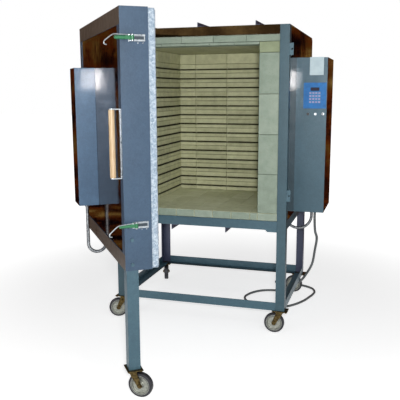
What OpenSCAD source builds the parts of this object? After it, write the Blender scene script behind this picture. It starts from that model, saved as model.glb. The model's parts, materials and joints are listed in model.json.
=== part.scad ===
// Bead annealing kiln: a tall front-loading electric kiln for glass beads.
// A brick-lined cabinet stands on an angle-iron stand with swivel casters. Its
// door hangs on two offset hinges, carries a leg with a caster of its own under
// the free edge, and is held shut by two toggle latches.
// Sizes are in millimetres, Z is up and the door side faces -Y. The origin is on
// the floor, below the middle of the four legs. The door is drawn standing open.

/* [Frame] */
// Width over the two front posts
frame_w = 1070; // [960:1:1300]
// Depth over the front posts and rear legs
stand_d = 848; // [700:1:960]
// Height of the cabinet top above the floor
top_z = 1796; // [1780:1:2000]
// Flange width of the angle iron
angle_w = 54; // [40:1:60]
// Thickness of the angle iron
angle_t = 5; // [3:0.5:8]
// Height of the underside of the legs
leg_z = 142; // [142:1:200]
// Height of the stretchers between the legs
stretcher_h = 50; // [35:1:70]
// Height of the underside of the cabinet
base_z = 632; // [580:1:640]
// Height of the cabinet bearers under the base
bearer_h = 32; // [20:1:40]
// Distance of each bearer from the middle
bearer_x = 170; // [100:1:250]
// Height of the roof stiffeners
stiffener_h = 26; // [15:1:40]
// Spacing of the roof stiffeners
stiffener_pitch = 340; // [250:1:380]
// Depth of the gusset plates below the front rail
gusset_drop = 12; // [5:1:20]
// Length of the gusset plates
gusset_l = 68; // [40:1:90]

/* [Cabinet] */
// Depth of the cabinet from the front face to the back
cabinet_d = 1030; // [960:1:1200]
// Thickness of the sheet panels
sheet_t = 3; // [1:0.5:4]
// Height of the dark strip over the lintel
header_h = 51; // [40:1:60]
// Clearance left round panels and boards
seat_gap = 0.3; // [0.1:0.1:1]

/* [Brickwork] */
// Thickness of the brick side walls
side_brick_t = 116; // [114:0.5:160]
// Thickness of the back wall with its insulation
back_wall_t = 248; // [230:1:300]
// Height of the chamber floor above the ground
sill_z = 731; // [710:1:760]
// Thickness of the roof bricks
roof_brick_t = 55; // [40:1:64]
// Height of the thin capping bricks over the jambs
cap_brick_h = 60.6; // [40:0.1:64]
// Step of the floor under the walls
seat_step = 1; // [0.5:0.5:5]
// Thickness of a brick wall, one brick laid on its side
brick_t = 114.3; // [100:0.1:120]
// Height of one grooved course
course_h = 63.5; // [55:0.1:64]
// Height of the first groove above the chamber floor
groove_z = 27.5; // [20:0.5:40]
// Height of an element groove
groove_h = 12; // [9:0.5:16]
// Depth of an element groove
groove_d = 14; // [12:0.5:20]
// Diameter of a heating element
element_d = 8; // [4:0.5:8.5]
// Distance of the bricks behind the frame's front face
brick_recess = 2; // [1:0.5:4]

/* [Door] */
// Width of the door
door_w = 1070; // [960:1:1300]
// Height of the door's bottom edge
door_z0 = 626; // [600:1:640]
// Distance of the door's top edge below the cabinet's top
door_top = 3; // [0:1:20]
// Depth of the steel shell of the door
door_t = 127; // [110:1:150]
// Sheet thickness of the door shell
door_sheet = 3; // [2:0.5:4]
// Thickness of the polished panel in the door
panel_t = 2; // [1:0.5:3]
// Width of the shell's side flanges
flange_side = 54; // [40:1:60]
// Width of the shell's top and bottom flanges
flange_end = 76; // [50:1:90]
// How far the insulation stands out of the shell
fibre_out = 37; // [25:1:45]
// Depth of the insulation inside the shell
fibre_in = 55; // [30:1:60]
// Width of the bare rim round the insulation
fibre_inset = 4; // [2:1:12]
// How far the door stands open, in degrees
door_open = 53.4; // [0:0.1:110]
// Distance of the hinge axis from the cabinet's side
hinge_out = 37; // [30:1:50]
// Distance of the hinge axis in front of the cabinet's face
hinge_front = 8; // [6:1:12]
// Height of the lower hinge
hinge_z0 = 820; // [760:1:900]
// Distance of the upper hinge below the cabinet's top
hinge_top = 186; // [150:1:260]
// Length of the plate by which a hinge is bolted on
leaf_l = 46; // [36:1:50]
// Height of one hinge knuckle
knuckle_h = 45; // [30:1:60]
// Radius of a hinge knuckle
knuckle_r = 13; // [11:0.5:15]
// Radius of a hinge pin
pin_r = 7; // [5:0.5:8]
// Radial clearance of pins and axles
run_fit = 0.05; // [0.02:0.01:0.1]

/* [Door fittings] */
// Width of the switch box on the door
door_box_w = 152; // [120:1:180]
// Depth of the switch box on the door
door_box_d = 104; // [80:1:120]
// Bottom of the switch box on the door
door_box_z0 = 826; // [780:1:900]
// Distance of the switch box's top below the cabinet's top
door_box_top = 240; // [180:1:360]
// Distance of the box's near side from the hinge edge
door_box_s = 285; // [200:1:400]
// Diameter of the wooden grip
grip_d = 27; // [20:1:32]
// Length of the wooden grip
grip_l = 301; // [200:1:350]
// Height of the middle of the grip
grip_z = 1205; // [1100:1:1300]
// Distance of the grip's axis from the door face
grip_out = 39; // [32:1:60]
// Side of the square leg under the door
door_leg_w = 56; // [45:1:60]
// Wall of the square leg
door_leg_t = 4; // [3:0.5:6]
// Height of the leg's top inside the shell
door_leg_z1 = 800; // [780:1:850]
// Height of the lower latch
latch_z0 = 839; // [800:1:880]
// Distance of the upper latch below the cabinet's top
latch_top = 135; // [100:1:200]
// Length of a latch's base plate
latch_base_l = 74; // [70:1:80]

/* [Control box] */
// Width of the control box, standing out from the cabinet
box_w = 183; // [170:1:220]
// Depth of the control box, front to back
box_d = 370; // [300:1:420]
// Distance of the control box behind the cabinet's face
box_y = 290; // [200:1:320]
// Bottom of the control box
box_z0 = 695; // [650:1:800]
// Distance of the control box's top below the cabinet's top
box_top = 168; // [120:1:260]
// Sheet thickness of the boxes
box_t = 2; // [1:0.5:3]
// Width of the controller's face plate
plate_w = 134; // [110:1:140]
// Height of the controller's face plate
plate_h = 152; // [130:1:170]
// Distance of the face plate's middle below the box's top
plate_top = 223; // [190:1:300]
// Distance of the row of fittings below the box's top
fitting_top = 332; // [320:1:400]
// Spacing of the row of fittings
fitting_pitch = 44; // [36:1:50]
// Diameter of the flexible conduits
conduit_d = 20; // [14:1:24]
// Bend radius of the cabinet's conduit
conduit_bend = 86; // [80:1:110]
// Bend radius of the door's conduit
door_conduit_bend = 50; // [40:1:56]
// Diameter of the power cord
cord_d = 16; // [10:1:20]

/* [Casters] */
// Diameter of the caster wheels
wheel_d = 121; // [100:1:121]
// Width of a caster wheel's tread
wheel_w = 30; // [24:1:34]
// Distance of the axle from the swivel axis
trail = 36; // [25:1:45]
// Length of a caster's mounting plate
caster_plate_l = 92; // [80:1:110]
// Width of a caster's mounting plate
caster_plate_w = 76; // [70:1:90]
// Thickness of a caster's mounting plate
caster_plate_t = 4; // [3:0.5:6]
// Height of a caster's swivel race
race_h = 7; // [5:0.5:10]
// Radius of an axle bolt
axle_r = 5; // [4:0.5:6]
// Radius of a kingpin
kingpin_r = 7; // [5:0.5:8]

/* [Hidden] */

half_w = frame_w / 2;
inner_w = half_w - angle_w;
board_x = half_w - angle_t - seat_gap;
chamber_x = inner_w - side_brick_t;
chamber_d = cabinet_d - back_wall_t;
rail_z = base_z + angle_w;
pan_z = base_z + angle_t;
floor_z = pan_z + sheet_t;
roof_z = top_z - sheet_t;
header_z = top_z - header_h;
board_top = roof_z;
back_y = cabinet_d - sheet_t;
board_y = cabinet_d - angle_t - seat_gap;
wall_y = brick_recess + brick_t;
back_brick_y = chamber_d + brick_t;
ceiling_z = header_z - roof_brick_t;
courses = floor((ceiling_z - sill_z) / course_h) - 1;
wall_z = sill_z - seat_step;
cap_top = ceiling_z + 16;
jamb_top = cap_top - cap_brick_h;

door_z1 = top_z - door_top;
hinge_z1 = top_z - hinge_top;
latch_z1 = top_z - latch_top;
door_box_z1 = top_z - door_box_top;
box_z1 = top_z - box_top;
plate_z = box_z1 - plate_top;
fitting_z = box_z1 - fitting_top;
hinge_x = -(half_w + hinge_out);
hinge_y = -hinge_front;
door_y1 = -(fibre_out + 0.5);
door_y0 = door_y1 - door_t;
door_x0 = -half_w;
door_x1 = door_x0 + door_w;
box_x = door_x0 + door_box_s;
leg_x0 = door_x1 - door_sheet - door_leg_w;
leg_y0 = door_y0 + door_sheet + panel_t + seat_gap;
door_caster = [leg_x0 + door_leg_w / 2, leg_y0 + door_leg_w / 2];
caster_in = angle_w / 2;

race_z = leg_z - caster_plate_t - race_h;
crown_t = 4;
crown_gap = 0.5;
crown_z = race_z - crown_gap - crown_t;
axle_z = wheel_d / 2;
hub_w = wheel_w + 4;
fork_t = 3;
fork_gap = 0.4;

// Places one thing behind the other: everything below is drawn from the front face
module placed() translate([0, -stand_d / 2, 0]) children();

// Turns what is drawn for the closed door to where the door stands
module swung()
    placed() translate([hinge_x, hinge_y, 0]) rotate([0, 0, -door_open])
        translate([-hinge_x, -hinge_y, 0]) children();

// Upright angle iron with its outer corner at the origin, flanges along +X and +Y
module angle_post(length)
    linear_extrude(length)
        polygon([[0, 0], [angle_w, 0], [angle_w, angle_t], [angle_t, angle_t],
                 [angle_t, angle_w], [0, angle_w]]);

// Bar along X with an upright flange at the front and a flat one at the bottom
module angle_rail(x0, x1, height, flat = angle_w)
    translate([x0, 0, 0]) rotate([90, 0, 90]) linear_extrude(x1 - x0)
        polygon([[0, 0], [flat, 0], [flat, angle_t], [angle_t, angle_t],
                 [angle_t, height], [0, height]]);

module block(p0, p1) translate(p0) cube(p1 - p0);

module both_sides() {
    children();
    mirror([1, 0, 0]) children();
}

// Frame and stand

module post(side)
    placed() mirror([side > 0 ? 1 : 0, 0, 0]) translate([-half_w, 0, leg_z])
        angle_post(top_z - leg_z);

module post_left() color("#5c7689") post(-1);

module post_right() color("#5c7689") post(1);

module rear_legs() color("#4a4f6e")
    placed() both_sides() translate([half_w, stand_d, leg_z]) rotate([0, 0, 180])
        angle_post(base_z - leg_z);

module side_stretcher()
    translate([half_w, angle_w, leg_z]) rotate([0, 0, 90])
        angle_rail(0, stand_d - 2 * angle_w, stretcher_h);

module stretchers() color("#54697c")
    placed() {
        translate([0, 0, leg_z]) angle_rail(-inner_w, inner_w, stretcher_h);
        translate([0, stand_d, leg_z]) rotate([0, 0, 180])
            angle_rail(-inner_w, inner_w, stretcher_h);
        both_sides() side_stretcher();
    }

// The front posts take the front corners of the ring, so its front rail ends at them
module side_rail()
    difference() {
        translate([half_w, angle_t, base_z]) rotate([0, 0, 90])
            angle_rail(0, cabinet_d - angle_t, angle_w);
        block([half_w - angle_t, 0, base_z - 1], [half_w + 1, angle_w, rail_z + 1]);
    }

module gusset()
    translate([inner_w - gusset_l, 0, base_z]) rotate([-90, 0, 0]) linear_extrude(angle_t)
        polygon([[0, 0], [gusset_l, 0], [gusset_l, gusset_drop], [gusset_drop, gusset_drop]]);

module base_frame() color("#54697c")
    placed() {
        translate([0, 0, base_z]) angle_rail(-inner_w, inner_w, angle_w);
        translate([0, cabinet_d, base_z]) rotate([0, 0, 180])
            angle_rail(-half_w + angle_t, half_w - angle_t, angle_w);
        both_sides() side_rail();
        both_sides() gusset();
    }

module bearers() color("#4a4f6e")
    placed() for (x = [-bearer_x, bearer_x])
        translate([x, angle_t, base_z]) rotate([-90, 0, 0]) linear_extrude(cabinet_d - 2 * angle_t)
            polygon([[0, 0], [bearer_h, 0], [bearer_h, angle_t], [angle_t, angle_t],
                     [angle_t, bearer_h], [0, bearer_h]]);

module roof_stiffeners() color("#4a4f6e")
    placed() for (i = [-1 : 1])
        translate([i * stiffener_pitch, 2 * angle_t, top_z]) mirror([0, 1, 0]) rotate([90, 0, 0])
            linear_extrude(cabinet_d - 4 * angle_t)
                polygon([[0, 0], [stiffener_h, 0], [stiffener_h, angle_t], [angle_t, angle_t],
                         [angle_t, stiffener_h], [0, stiffener_h]]);

// Sheet panels

module floor_pan() color("#6b6f76")
    placed() block([-board_x, angle_t + seat_gap, pan_z],
                   [board_x, cabinet_d - angle_t - seat_gap, floor_z]);

module side_panel(side)
    placed() mirror([side > 0 ? 0 : 1, 0, 0])
        translate([half_w, 0, 0]) rotate([90, 0, -90]) mirror([1, 0, 0]) linear_extrude(sheet_t)
            polygon([[angle_w, rail_z], [cabinet_d, rail_z], [cabinet_d, top_z - 14],
                     [cabinet_d - 30, top_z], [angle_w, top_z]]);

module side_panel_left() color("#3b1a10") side_panel(-1);

module side_panel_right() color("#3b1a10") side_panel(1);

module back_panel() color("#3b1a10")
    placed() block([-half_w + sheet_t, back_y, rail_z], [half_w - sheet_t, cabinet_d, top_z - 14]);

module roof_panel() color("#4a3a30")
    placed() block([-board_x, 2 * angle_t, roof_z], [board_x, cabinet_d - 30, top_z]);

module header() color("#3f2a1c")
    placed() {
        block([-inner_w, brick_recess, header_z], [inner_w, brick_recess + sheet_t, top_z]);
        block([-inner_w, brick_recess, roof_z - sheet_t], [inner_w, 3 * angle_t, roof_z]);
    }

// Brickwork and elements

// Grooves run along X at the face Y = 0, open toward -Y
module grooves(x0, x1)
    for (k = [0 : courses - 1])
        block([x0, -1, sill_z + groove_z + k * course_h - groove_h / 2],
              [x1, groove_d, sill_z + groove_z + k * course_h + groove_h / 2]);

module brick_floor() color("#c9c49a")
    placed() {
        block([-inner_w, angle_t + seat_gap, floor_z], [inner_w, back_brick_y, rail_z]);
        block([-inner_w, brick_recess, rail_z], [inner_w, back_brick_y, wall_z]);
        block([-chamber_x, brick_recess, rail_z], [chamber_x, chamber_d, sill_z]);
    }

module brick_side(side)
    placed() mirror([side > 0 ? 0 : 1, 0, 0]) difference() {
        block([chamber_x, wall_y, wall_z], [inner_w, chamber_d, ceiling_z]);
        translate([chamber_x, 0, 0]) rotate([0, 0, -90]) mirror([1, 0, 0])
            grooves(wall_y + brick_recess, chamber_d + 1);
    }

module brick_left() color("#b6b08a") brick_side(-1);

module brick_right() color("#b6b08a") brick_side(1);

module brick_back() color("#a09c78")
    placed() difference() {
        block([-inner_w, chamber_d, wall_z], [inner_w, back_brick_y, ceiling_z]);
        translate([0, chamber_d, 0]) grooves(-chamber_x - groove_d, chamber_x + groove_d);
    }

module brick_roof() color("#a8a27e")
    placed() block([-inner_w, wall_y, ceiling_z], [inner_w, back_brick_y, header_z]);

module jambs() color("#a9b3a0")
    placed() both_sides() {
        block([chamber_x, brick_recess, wall_z], [inner_w, wall_y, jamb_top]);
        block([chamber_x, brick_recess + 1, jamb_top], [inner_w, wall_y, cap_top]);
    }

module lintel() color("#a8b8a8")
    placed() {
        block([-inner_w, brick_recess + sheet_t, cap_top], [inner_w, wall_y, header_z]);
        block([-chamber_x, brick_recess + sheet_t, ceiling_z], [chamber_x, wall_y, cap_top]);
    }

module backup_board() color("#d8d4c4")
    placed() {
        both_sides() block([inner_w, angle_t + seat_gap, floor_z], [board_x, board_y, board_top]);
        block([-inner_w, back_brick_y, floor_z], [inner_w, board_y, board_top]);
        block([-inner_w, 3 * angle_t + 1, header_z], [inner_w, back_brick_y, board_top]);
    }

// One element loop: up one side wall, across the back and down the other
module element_loop() {
    x = chamber_x + groove_d / 2;
    y = chamber_d + groove_d / 2;
    for (s = [-1, 1])
        translate([s * x, wall_y + 20, 0]) rotate([-90, 0, 0])
            cylinder(r = element_d / 2, h = y - wall_y - 20, $fn = 16);
    translate([-x, y, 0]) rotate([0, 90, 0]) cylinder(r = element_d / 2, h = 2 * x, $fn = 16);
    for (s = [-1, 1]) translate([s * x, y, 0]) sphere(r = element_d / 2, $fn = 16);
}

module elements() color("#3f3f28")
    placed() for (k = [0 : courses - 1])
        translate([0, 0, sill_z + groove_z + k * course_h - groove_h / 2 + element_d / 2 + seat_gap])
            element_loop();

// Hinges and keepers

keeper_w = 22;
keeper_h = 66;
keeper_t = 6;

module keepers() color("#5c7689")
    placed() for (z = [latch_z0, latch_z1]) difference() {
        translate([half_w, 0, z - keeper_h / 2]) linear_extrude(keeper_h)
            polygon([[0, 1], [keeper_w, 1], [keeper_w, 1 + keeper_t], [keeper_t, 1 + keeper_t],
                     [keeper_t, angle_w - 4], [0, angle_w - 4]]);
        translate([half_w + keeper_w / 2 + 3, -1, z]) rotate([-90, 0, 0])
            cylinder(r = 5, h = 2 * keeper_t + 2, $fn = 32);
    }

// A leaf drawn at its hinge axis: an arm from the knuckle to the edge that carries it
module hinge_leaf(arm_y, plate_y0, plate_y1)
    linear_extrude(knuckle_h) difference() {
        union() {
            circle(r = knuckle_r, $fn = 48);
            translate([0, arm_y]) square([hinge_out, keeper_t]);
            translate([hinge_out - keeper_t, plate_y0]) square([keeper_t, plate_y1 - plate_y0]);
        }
        circle(r = pin_r + run_fit, $fn = 48);
    }

module hinge_leaves() color("#4a4f6e")
    placed() for (z = [hinge_z0, hinge_z1])
        translate([hinge_x, hinge_y, z]) hinge_leaf(hinge_front - 1, hinge_front - 1, hinge_front + leaf_l);

module door_hinges() color("#4a4f6e")
    swung() for (z = [hinge_z0, hinge_z1])
        translate([hinge_x, hinge_y, z + knuckle_h + crown_gap]) {
            hinge_leaf(-knuckle_r, -knuckle_r - leaf_l, -knuckle_r + keeper_t);
            translate([0, 0, -knuckle_h]) cylinder(r = pin_r, h = 2 * knuckle_h, $fn = 48);
            translate([0, 0, knuckle_h]) cylinder(r = pin_r + 3, h = 5, $fn = 48);
        }

// Control box on the right side of the cabinet

box_x1 = half_w + box_w;
plate_x = half_w + box_w - 4 - plate_w / 2;
fitting_x = plate_x + 6;

// Sheet box open toward its back, drawn from its outer corner
module sheet_box(w, d, h)
    difference() {
        cube([w, d, h]);
        translate([box_t, box_t, box_t]) cube([w - 2 * box_t, d, h - 2 * box_t]);
    }

module control_box() color("#4e6876")
    placed() difference() {
        translate([half_w, box_y, box_z0]) difference() {
            cube([box_w, box_d, box_z1 - box_z0]);
            translate([-1, box_t, box_t])
                cube([box_w + 1 - box_t, box_d - 2 * box_t, box_z1 - box_z0 - 2 * box_t]);
        }
        for (i = [-1 : 1]) translate([fitting_x + i * fitting_pitch, box_y - 1, fitting_z])
            rotate([-90, 0, 0]) cylinder(r = 6, h = box_t + 2, $fn = 32);
    }

module controller() color("#1487c8")
    placed() difference() {
        block([plate_x - plate_w / 2, box_y - 3, plate_z - plate_h / 2],
              [plate_x + plate_w / 2, box_y, plate_z + plate_h / 2]);
        block([plate_x - 26, box_y - 4, plate_z + 28], [plate_x + 26, box_y - 1.5, plate_z + 48]);
    }

module display() color("#1a1430")
    placed() block([plate_x - 25.7, box_y - 2.5, plate_z + 28.3],
                   [plate_x + 25.7, box_y - 1.5, plate_z + 47.7]);

// Membrane keypad: one film with its key fields raised a little
module keypad() color("#8f8bb8")
    placed() {
        block([plate_x - 35, box_y - 3.6, plate_z - 47], [plate_x + 35, box_y - 3, plate_z + 24]);
        for (i = [0 : 3], j = [0 : 3])
            block([plate_x - 33 + 17 * i, box_y - 4.2, plate_z - 45 + 17.5 * j],
                  [plate_x - 19 + 17 * i, box_y - 3.6, plate_z - 31 + 17.5 * j]);
    }

module panel_bush(x, r, out) translate([x, 0, 0]) {
    cylinder(r = r, h = out, $fn = 32);
    translate([0, 0, -box_t - 8]) cylinder(r = 5.7, h = box_t + 8, $fn = 32);
}

// From left to right: fuse holder, pilot lamp and the bush of the toggle switch
module box_fittings() color("#c4c8ca")
    placed() translate([fitting_x, box_y, fitting_z]) rotate([90, 0, 0]) {
        panel_bush(-fitting_pitch, 8.5, 5);
        panel_bush(0, 7.5, 6);
        difference() {
            union() {
                panel_bush(fitting_pitch, 6, 9);
                translate([fitting_pitch, 0, 0]) cylinder(r = 9, h = 3, $fn = 6);
            }
            translate([fitting_pitch, 0, 4]) cylinder(r = 4.8, h = 6, $fn = 32);
        }
    }

// The bat of the switch, thrown downward
module toggle() color("#d9dcde")
    placed() translate([fitting_x + fitting_pitch, box_y - 8.7, fitting_z]) {
        rotate([90, 0, 0]) rotate([15, 0, 0]) {
            cylinder(r1 = 1.8, r2 = 3, h = 18, $fn = 32);
            translate([0, 0, 18]) sphere(r = 3, $fn = 32);
        }
        rotate([0, 90, 0]) cylinder(r = 3.6, h = 4.8, center = true, $fn = 32);
    }

// Conduit and power cord

conduit_y = box_y + box_d / 2;
conduit_x = half_w + 90;

// Half turn in the XZ plane, hanging from its two ends at z = 0
module conduit_bend_half(bend)
    rotate([90, 0, 0]) rotate([0, 0, 180]) rotate_extrude(angle = 180, $fn = 64)
        translate([bend, 0]) circle(r = conduit_d / 2, $fn = 24);

module conduit_nut() cylinder(r = conduit_d / 2 + 6, h = 12, $fn = 6);

module conduit() color("#b5b8b8")
    placed() {
        translate([conduit_x, conduit_y, pan_z]) {
            cylinder(r = conduit_d / 2, h = box_z0 - pan_z, $fn = 24);
            translate([0, 0, box_z0 - pan_z - 12]) conduit_nut();
        }
        translate([conduit_x - conduit_bend, conduit_y, pan_z]) conduit_bend_half(conduit_bend);
        translate([conduit_x - 2 * conduit_bend, conduit_y, pan_z - 12]) conduit_nut();
    }

gland_x = half_w + 116;
gland_y = conduit_y - 45;

module cord_gland() color("#2a2c30")
    placed() translate([gland_x, gland_y, box_z0]) mirror([0, 0, 1]) {
        cylinder(r = cord_d / 2 + 7, h = 8, $fn = 6);
        translate([0, 0, 8]) cylinder(r1 = cord_d / 2 + 5, r2 = cord_d / 2 + 2, h = 14, $fn = 32);
    }

// Points of the cord's route, drawn from the cabinet's front face
cord_points = [
    [651, 430, 672.7], [651, 430, 650], [651, 430, 627], [655, 440, 546], [665, 460, 492],
    [650, 510, 402], [625, 590, 282], [580, 655, 188], [543, 692, 130], [503, 710, 94],
    [458, 722, 62], [410, 745, 34], [356, 768, 14], [302, 772, 8.2], [250, 748, 8.2],
    [207, 702, 8.2], [176, 640, 8.2], [167, 575, 8.2], [190, 512, 8.2], [238, 462, 8.2],
    [310, 430, 8.2], [390, 425, 8.2], [465, 455, 8.2], [530, 530, 8.2], [575, 620, 8.2],
    [600, 700, 8.2], [616, 760, 8.2], [622, 825, 8.2], [602, 888, 8.2], [560, 930, 8.2],
    [514, 950, 9.5], [472, 958, 15], [440, 958, 20], [415, 958, 20], [390, 958, 20]
];

function spline(a, b, c, d, t) =
    0.5 * (2 * b + (c - a) * t + (2 * a - 5 * b + 4 * c - d) * t * t
           + (3 * b - a - 3 * c + d) * t * t * t);

// Route points joined by a smooth curve, steps rings for each stretch
function smooth(p, steps) = [
    for (i = [0 : len(p) - 2], j = [0 : steps - 1])
        spline(p[max(i - 1, 0)], p[i], p[i + 1], p[min(i + 2, len(p) - 1)], j / steps),
    p[len(p) - 1]
];

function unit(v) = v / norm(v);

function heading(p, i) = unit(p[min(i + 1, len(p) - 1)] - p[max(i - 1, 0)]);

// A frame carried along the route, so that the tube does not twist
function carried(p, i, side) =
    i >= len(p) ? [] :
        let (t = heading(p, i), s = unit(side - (side * t) * t))
            concat([s], carried(p, i + 1, s));

module tube(points, radius, sides) {
    frames = carried(points, 0, [1, 0, 0]);
    rings = [
        for (i = [0 : len(points) - 1])
            let (t = heading(points, i), s = frames[i], u = cross(t, s))
                for (k = [0 : sides - 1])
                    points[i] + radius * (cos(360 * (k + 0.5) / sides) * s
                                          + sin(360 * (k + 0.5) / sides) * u)
    ];
    n = len(points);
    polyhedron(points = rings, faces = concat(
        [[for (k = [0 : sides - 1]) k]],
        [for (i = [0 : n - 2], k = [0 : sides - 1])
            let (a = i * sides + k, b = i * sides + (k + 1) % sides)
                [a, a + sides, b + sides, b]],
        [[for (k = [sides - 1 : -1 : 0]) (n - 1) * sides + k]]));
}

module power_cord() color("#8c9092")
    placed() tube(smooth(cord_points, 2), cord_d / 2, 8);

module plug() color("#22242a")
    placed() translate(cord_points[len(cord_points) - 1]) rotate([0, 90, 180]) translate([0, 0, seat_gap]) {
        cylinder(r1 = cord_d / 2 + 1, r2 = cord_d / 2 + 4, h = 20, $fn = 32);
        translate([0, 0, 20]) cylinder(r = 19, h = 38, $fn = 32);
        for (y = [-9, 9]) translate([-4, y - 1, 58]) cube([8, 2, 20]);
        translate([9, 0, 58]) cylinder(r = 2.4, h = 20, $fn = 24);
    }

// Door, drawn closed and turned by swung()

module door_shell() color("#5c7689")
    swung() difference() {
        block([door_x0, door_y0, door_z0], [door_x1, door_y1, door_z1]);
        block([door_x0 + door_sheet, door_y0 + door_sheet, door_z0 + door_sheet],
              [door_x1 - door_sheet, door_y1 + 1, door_z1 - door_sheet]);
        block([door_x0 + flange_side, door_y0 - 1, door_z0 + flange_end],
              [door_x1 - flange_side, door_y1, door_z1 - flange_end]);
        block([leg_x0 - seat_gap, leg_y0 - seat_gap, door_z0 - 1],
              [door_x1 - door_sheet, leg_y0 + door_leg_w + seat_gap, door_z0 + door_sheet + 1]);
        door_bolts(seat_gap, 0);
    }

module door_panel() color("#3b1a10")
    swung() block([door_x0 + door_sheet + seat_gap, door_y0 + door_sheet, door_z0 + door_sheet + seat_gap],
                  [door_x1 - door_sheet - seat_gap, door_y0 + door_sheet + panel_t,
                   door_z1 - door_sheet - seat_gap]);

module door_fibre() color("#c7d3e4")
    swung() {
        block([door_x0 + door_sheet + seat_gap, door_y1 - fibre_in, door_z0 + door_sheet + seat_gap],
              [door_x1 - door_sheet - seat_gap, door_y1, door_z1 - door_sheet - seat_gap]);
        block([door_x0 + fibre_inset, door_y1, door_z0 + fibre_inset],
              [door_x1 - fibre_inset, door_y1 + fibre_out, door_z1 - fibre_inset]);
    }

module door_box() color("#5a86a5")
    swung() translate([box_x, door_y0 - door_box_d, door_box_z0])
        sheet_box(door_box_w, door_box_d + door_sheet, door_box_z1 - door_box_z0);

module door_conduit() color("#b5b8b8")
    swung() {
        x = box_x + door_box_w / 2;
        y = door_y0 - door_conduit_bend;
        z = door_z0 - 30;
        translate([x, y, z]) {
            cylinder(r = conduit_d / 2, h = door_box_z0 - z, $fn = 24);
            translate([0, 0, door_box_z0 - z - 12]) conduit_nut();
        }
        translate([x, y + door_conduit_bend, z]) rotate([0, 0, 90])
            conduit_bend_half(door_conduit_bend);
        translate([x, y + 2 * door_conduit_bend, z]) {
            cylinder(r = conduit_d / 2, h = door_z0 - z, $fn = 24);
            translate([0, 0, door_z0 - z - 12]) conduit_nut();
        }
    }

grip_x = door_x1 - flange_side / 2;
strap_w = 20;
strap_t = 5;

module grip() color("#c8ad88")
    swung() translate([grip_x, door_y0 - grip_out, grip_z - grip_l / 2]) difference() {
        cylinder(r = grip_d / 2, h = grip_l, $fn = 48);
        translate([0, 0, -1]) cylinder(r = 4 + run_fit, h = grip_l + 2, $fn = 32);
    }

module grip_bracket() color("#c4c8cc")
    swung() translate([grip_x, door_y0, grip_z]) {
        block([-strap_w / 2, -strap_t, -grip_l / 2 - strap_t], [strap_w / 2, 0, grip_l / 2 + strap_t]);
        for (s = [-1, 1])
            translate([0, 0, s * (grip_l / 2 + strap_t / 2) - strap_t / 2]) linear_extrude(strap_t) {
                translate([-strap_w / 2, -grip_out]) square([strap_w, grip_out]);
                translate([0, -grip_out]) circle(r = strap_w / 2, $fn = 32);
            }
        translate([0, -grip_out, -grip_l / 2]) cylinder(r = 4, h = grip_l, $fn = 32);
    }

// Bolts that hold the leg, through the free edge of the shell
module door_bolts(clearance, head)
    for (z = [door_z0 + 29, door_z0 + 144])
        translate([door_x1 - door_sheet - door_leg_t, door_caster[1], z]) rotate([0, 90, 0]) {
            cylinder(r = 5 + clearance, h = door_sheet + door_leg_t + 1, $fn = 32);
            if (head > 0) translate([0, 0, door_sheet + door_leg_t]) cylinder(r = 9, h = head, $fn = 6);
        }

module door_leg() color("#5c7689")
    swung() {
        translate([leg_x0, leg_y0, leg_z]) linear_extrude(door_leg_z1 - leg_z) difference() {
            square(door_leg_w);
            translate([door_leg_t, door_leg_t]) square(door_leg_w - 2 * door_leg_t);
        }
        door_bolts(0, 6);
    }

// Toggle latches on the free edge

latch_y = door_y0 + 52;
latch_x = door_x1 + 16;
ear_z = 10.3;
ear_t = 3.7;
latch_pin_r = 4;
eye_y = -15;
hook_rest = 20;

module latch_base(z)
    translate([door_x1, 0, z]) {
        block([0, latch_y - 15, -15], [4, latch_y - 15 + latch_base_l, 15]);
        for (s = [-1, 1]) {
            translate([0, 0, s * (ear_z + ear_t / 2) - ear_t / 2]) linear_extrude(ear_t) {
                translate([0, latch_y - 8]) square([16, 16]);
                translate([16, latch_y]) circle(r = 8, $fn = 32);
                translate([0, latch_y - 8]) square([9, latch_base_l - 7]);
            }
        }
        translate([16, latch_y, -ear_z - ear_t - 2])
            cylinder(r = latch_pin_r, h = 2 * (ear_z + ear_t + 2), $fn = 32);
    }

module latch_bases() color("#b9bcc0")
    swung() for (z = [latch_z0, latch_z1]) latch_base(z);

module latch_lever(z)
    swung() translate([latch_x, latch_y, z]) {
        difference() {
            union() {
                cylinder(r = 8, h = 20, center = true, $fn = 32);
                translate([-2, -72, -8]) cube([4, 68, 16]);
                translate([0, eye_y, 7]) cylinder(r = 2.5, h = 9, $fn = 24);
            }
            cylinder(r = latch_pin_r + run_fit, h = 22, center = true, $fn = 32);
        }
        translate([0, -72, 0]) rotate([-90, 0, 0]) {
            cylinder(r = 8.2, h = 40, $fn = 32);
            sphere(r = 8.2, $fn = 32);
        }
    }

module latch_lever_upper() color("#2f8a4a") latch_lever(latch_z1);

module latch_lever_lower() color("#2f8a4a") latch_lever(latch_z0);

// Hook of round bar: an eye, a straight stretch over the grip, and a bent end
hook_r = 2.5;
hook_points = [
    [0, -4.5, 11.1], [0, -25, 11.1], [0, -55, 11.1], [0, -76, 10], [0, -92, 2], [0, -108, -9],
    [0, -122, -20], [0, -123, -31], [0, -112, -34]
];

module latch_hook(z)
    swung() translate([latch_x, latch_y + eye_y, z]) rotate([0, 0, hook_rest]) {
        translate([0, 0, 8.6]) difference() {
            cylinder(r = 6, h = 5, $fn = 32);
            translate([0, 0, -1]) cylinder(r = 2.5 + run_fit, h = 7, $fn = 32);
        }
        tube(smooth(hook_points, 3), hook_r, 10);
    }

module latch_hook_upper() color("#d9dcde") latch_hook(latch_z1);

module latch_hook_lower() color("#d9dcde") latch_hook(latch_z0);

// Casters

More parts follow.
